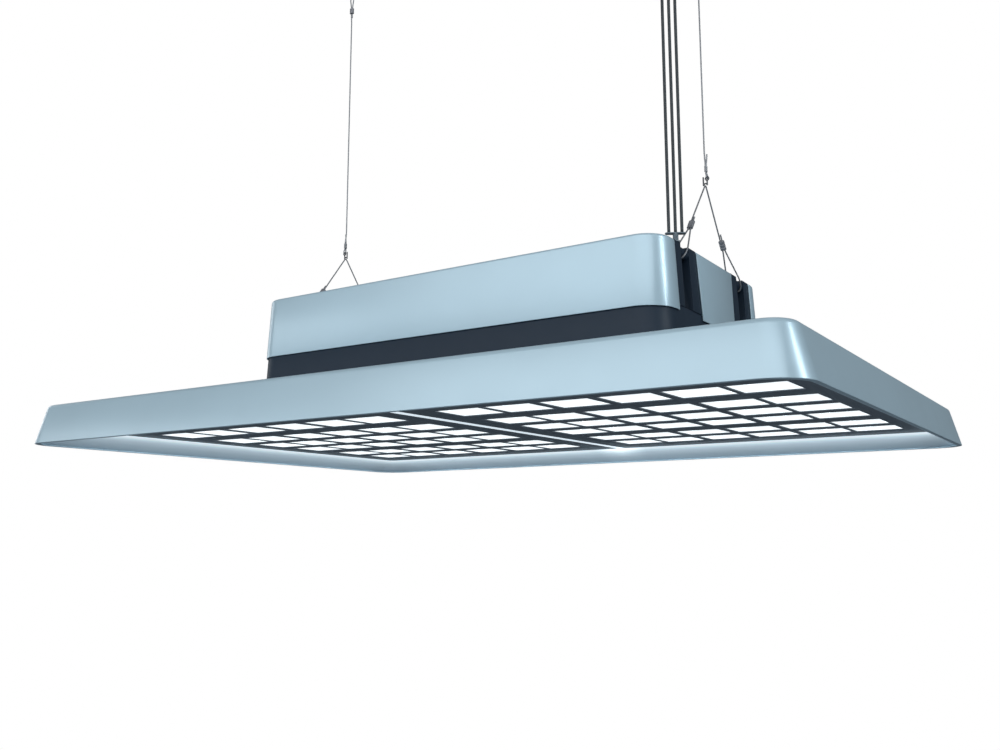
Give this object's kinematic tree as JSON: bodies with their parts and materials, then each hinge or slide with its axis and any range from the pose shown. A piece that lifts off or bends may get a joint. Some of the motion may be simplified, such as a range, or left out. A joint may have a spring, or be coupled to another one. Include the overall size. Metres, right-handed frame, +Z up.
{
  "type": "hanging grow light",
  "caption": "Wide LED grow light: a shallow flared tray of glowing square windows under a long power housing, hung level on two wire slings.",
  "frame": {"origin": "midway between the two ceiling plates, on the ceiling plane they are screwed to", "axes": "+X along the lamp towards the end with the cable gland, +Y across the lamp towards its rear, +Z up"},
  "size_m": [1.2, 0.8774, 0.92],
  "materials": {
    "ceiling_fitting": "satin",
    "bright_steel": "satin",
    "steel_wire": "satin",
    "zinc_ferrule": "satin",
    "dark_steel": "satin",
    "pale_paint": "satin",
    "bezel_paint": "satin",
    "white_strip": "satin",
    "slate_panel": "matte",
    "window_lens": "satin",
    "board_white": "matte",
    "led_chip": "satin",
    "bare_aluminium": "satin",
    "dark_paint": "satin",
    "driver_case": "matte",
    "terminal_plastic": "matte",
    "gland_plastic": "satin",
    "screw_steel": "satin",
    "cable_rubber": "matte",
    "connector_plastic": "satin",
    "clip_plastic": "satin"
  },
  "bodies": {
    "ceiling": {"ceiling_plate_left": "ceiling_fitting", "ceiling_plate_right": "ceiling_fitting", "ceiling_eye_left": "bright_steel", "ceiling_eye_right": "bright_steel"},
    "left_ring": {"link_left": "bright_steel"},
    "left_hanger": {"wire_left": "steel_wire", "top_ferrule_left": "zinc_ferrule", "tail_sleeve_left": "zinc_ferrule", "hook_left": "dark_steel", "bridle_left": "steel_wire", "ferrules_left": "zinc_ferrule"},
    "lamp": {"hanger_bars": "dark_paint", "tray_shell": "pale_paint", "front_cover": "pale_paint", "rear_cover": "pale_paint", "top_cover": "pale_paint", "end_panel_left": "pale_paint", "end_panel_right": "pale_paint", "rim_bezel": "bezel_paint", "centre_divider": "white_strip", "panel_left": "slate_panel", "panel_right": "slate_panel", "lenses_left": "window_lens", "lenses_right": "window_lens", "led_boards_left": "board_white", "led_boards_right": "board_white", "led_chips_left": "led_chip", "led_chips_right": "led_chip", "base_plate_left": "bare_aluminium", "base_plate_right": "bare_aluminium", "cross_rails": "bare_aluminium", "heat_sink_left": "bare_aluminium", "heat_sink_right": "bare_aluminium", "driver_tray": "bare_aluminium", "plinth": "dark_paint", "bracket_left_front": "dark_paint", "bracket_left_rear": "dark_paint", "bracket_right_front": "dark_paint", "bracket_right_rear": "dark_paint", "gland_stem": "dark_paint", "driver_left": "driver_case", "driver_right": "driver_case", "terminal_block": "terminal_plastic", "gland_disc": "gland_plastic", "cover_screws": "screw_steel", "tray_screws": "screw_steel"},
    "right_hanger": {"wire_right": "steel_wire", "top_ferrule_right": "zinc_ferrule", "tail_sleeve_right": "zinc_ferrule", "hook_right": "dark_steel", "bridle_right": "steel_wire", "ferrules_right": "zinc_ferrule", "power_lead_1": "cable_rubber", "power_lead_2": "cable_rubber", "power_lead_3": "cable_rubber", "lead_connectors": "connector_plastic", "lead_clip": "clip_plastic"},
    "right_ring": {"link_right": "bright_steel"}
  },
  "joints": [
    {"name": "side_swing", "type": "hinge", "parent": "ceiling", "child": "left_ring", "pos_m": [-0.3455, 0, -0.03], "axis": [1, 0, 0], "range_deg": [-10, 10]},
    {"name": "end_swing", "type": "hinge", "parent": "left_ring", "child": "left_hanger", "pos_m": [-0.3455, 0, -0.052], "axis": [0, 1, 0], "range_deg": [-10, 10]},
    {"name": "left_bar_pivot", "type": "hinge", "parent": "left_hanger", "child": "lamp", "pos_m": [-0.3455, 0, -0.688], "axis": [0, 1, 0], "range_deg": [-10, 10]},
    {"name": "right_bar_pivot", "type": "hinge", "parent": "lamp", "child": "right_hanger", "pos_m": [0.3455, 0, -0.688], "axis": [0, 1, 0], "range_deg": [-10, 10], "deforming": ["power_lead_1", "power_lead_2", "power_lead_3"]},
    {"name": "right_link_pivot", "type": "hinge", "parent": "right_hanger", "child": "right_ring", "pos_m": [0.3455, 0, -0.052], "axis": [0, 1, 0], "range_deg": [-10, 10]}
  ],
  "couplings": [
    {"joint": "left_bar_pivot", "follows": "end_swing", "ratio": -1},
    {"joint": "right_bar_pivot", "follows": "end_swing", "ratio": 1},
    {"joint": "right_link_pivot", "follows": "end_swing", "ratio": -1}
  ]
}
